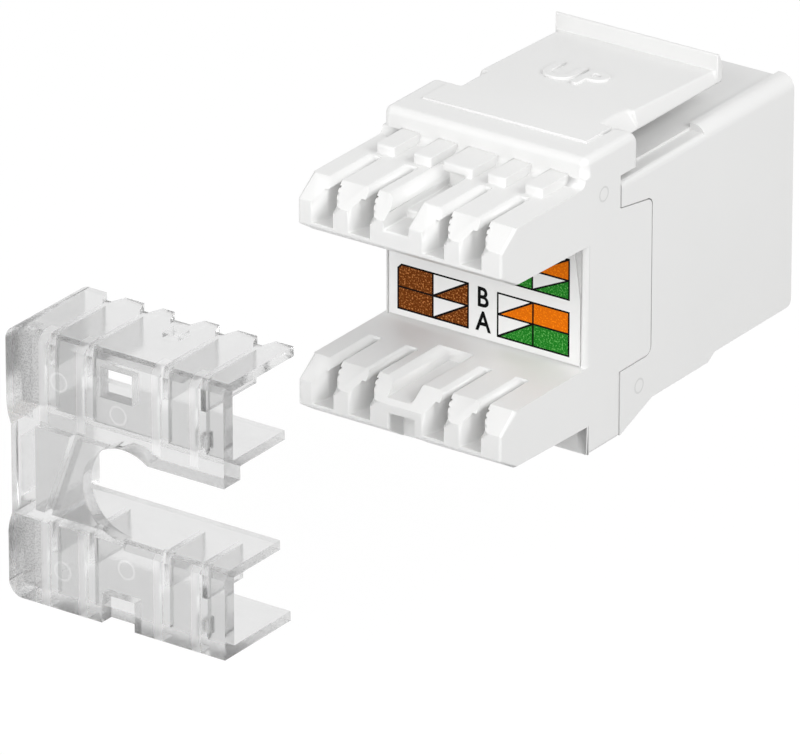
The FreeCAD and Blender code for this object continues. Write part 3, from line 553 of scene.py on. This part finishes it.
def makeLetters(text, setup, name):
    deselectAll()
    bpy.ops.object.text_add(location=(0, 0, 0))
    letters = bpy.context.object
    letters.name = name
    letters.data.body = text
    letters.data.align_x = "CENTER"
    letters.data.align_y = "CENTER"
    letters.data.size = setup["size"] * mm
    letters.data.extrude = setup["rise"] / 2 * mm
    letters.data.offset = setup["bold"] * mm
    letters.data.bevel_depth = setup["soft"] * mm
    letters.data.resolution_u = setup["steps"]
    makeActive(letters)
    bpy.ops.object.convert(target="MESH")
    return bpy.context.object


backY, backZ = raisedSetup["backEdge"]
frontY, frontZ = raisedSetup["frontEdge"]
fall = math.atan2(frontZ - backZ, frontY - backY)
placeX, placeY = raisedSetup["place"]
placeZ = backZ + (placeY - backY) * math.tan(fall)
raised = makeLetters(raisedSetup["text"], raisedSetup, "raisedMark")
raised.rotation_euler = (fall, 0, 0)
raised.location = (placeX * mm, placeY * mm, (placeZ + raisedSetup["rise"] / 4) * mm)
finishPiece(raised, "jack", finishes["white_moulding"])

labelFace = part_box("wiring_label")[0].y
for text, (across, up) in printSetup["letters"]:
    letter = makeLetters(text, printSetup, "printed" + text)
    letter.rotation_euler = (math.radians(90), 0, 0)        # stands up on the label
    letter.scale = (printSetup["narrow"], 1, 1)
    letter.location = (across * mm, labelFace - printSetup["rise"] / 2 * mm, up * mm)
    finishPiece(letter, "jack", inkBlack)
print("letters made")


# floor, lamps, world and camera, places in mm

lightSetup = {
    "worldStrength": 0.54,
    "glow": 1.05,               # strength of the white that the camera and gloss see
    "keyPlace": (0.0, -225.0, 85.0),
    "keyPower": 0.31,           # watts, the scene is only a few centimetres across
    "sidePlace": (200.0, -20.0, 150.0),
    "sidePower": 0.35,
    "lampSize": 0.16,           # metres
    "aim": (0.0, -20.0, 0.0),
}
floorSetup = {
    "grey": 0.50,
    "roughness": 0.9,
    "glowShare": 0.92,          # the rest shows the object's shadow
    "drop": 14.0,               # below the lowest corner
    "size": 2.0,                # metres
}
viewSetup = {
    "azimuth": 35.0,            # degrees round the jack, from straight behind the combs
    "elevation": 24.5,
    "lens": 500.0,              # long lens, so the view is almost parallel
    "sensorWidth": 36.0,
    "widthInView": 47.0,        # mm across the picture at the target
    "target": (-0.9, -29.6, -3.45),
    "clip": (0.2, 10.0),        # nearest and farthest, as shares of the distance
}


def whiteRays(nodes):
    # the rays of the camera, of reflections and through clear pieces
    path = nodes.add("ShaderNodeLightPath")
    names = ("Is Camera Ray", "Is Glossy Ray", "Is Transmission Ray")
    camera, glossy, through = nodes.outputsOf(path, names)
    return camera.either(glossy).either(through)


def showWhite(nodes, kind, soft, mask, outputName):
    # white glow where the mask is 1, and the soft shader for all other light
    glow = nodes.add(kind, None, {"Strength": lightSetup["glow"], "Color": grey(1.0)})
    soft = Wire(nodes.tree, soft.outputs[0])
    blend = nodes.add("ShaderNodeMixShader", None, {0: mask, 1: soft, 2: glow})
    nodes.tree.links.new(blend.socket, nodes.tree.nodes[outputName].inputs["Surface"])


def makeFloor():
    deselectAll()
    height = cadLow.z - floorSetup["drop"] * mm
    bpy.ops.mesh.primitive_plane_add(size=floorSetup["size"], location=(0, 0, height))
    floor = bpy.context.object
    floor.name = "floor"
    finish = Finish("paleFloor")
    finish.set({"Base Color": grey(floorSetup["grey"]), "Roughness": floorSetup["roughness"]})
    mask = whiteRays(finish) * floorSetup["glowShare"]
    showWhite(finish, "ShaderNodeEmission", finish.shader, mask, "Material Output")
    floor.data.materials.append(finish.material)


def makeWorld():
    world = bpy.data.worlds.new("studio")
    bpy.context.scene.world = world
    world.use_nodes = True
    nodes = Nodes(world.node_tree)
    soft = nodes.tree.nodes["Background"]
    soft.inputs["Color"].default_value = grey(1.0)
    soft.inputs["Strength"].default_value = lightSetup["worldStrength"]
    showWhite(nodes, "ShaderNodeBackground", soft, whiteRays(nodes), "World Output")


def addLamp(name, place, power):
    deselectAll()
    bpy.ops.object.light_add(type="AREA", location=Vector(place) * mm)
    lamp = bpy.context.object
    lamp.name = name
    lamp.data.energy = power
    lamp.data.size = lightSetup["lampSize"]
    towards = Vector(lightSetup["aim"]) * mm - lamp.location
    lamp.rotation_euler = towards.to_track_quat("-Z", "Y").to_euler()


def makeCamera():
    turn = math.radians(viewSetup["azimuth"])
    lift = math.radians(viewSetup["elevation"])
    level = math.cos(lift)
    back = Vector((math.sin(turn) * level, -math.cos(turn) * level, math.sin(lift)))
    data = bpy.data.cameras.new("productCamera")
    data.lens = viewSetup["lens"]
    data.sensor_width = viewSetup["sensorWidth"]
    distance = viewSetup["widthInView"] * mm * data.lens / data.sensor_width
    nearest, farthest = viewSetup["clip"]
    data.clip_start = distance * nearest
    data.clip_end = distance * farthest
    camera = bpy.data.objects.new("productCamera", data)
    bpy.context.scene.collection.objects.link(camera)
    camera.location = Vector(viewSetup["target"]) * mm + back * distance
    camera.rotation_mode = "QUATERNION"
    camera.rotation_quaternion = (-back).to_track_quat("-Z", "Y")
    bpy.context.scene.camera = camera


makeFloor()
makeWorld()
addLamp("keyLamp", lightSetup["keyPlace"], lightSetup["keyPower"])
addLamp("sideLamp", lightSetup["sidePlace"], lightSetup["sidePower"])
makeCamera()
bpy.context.scene.view_settings.view_transform = "Standard"
print("studio ready")
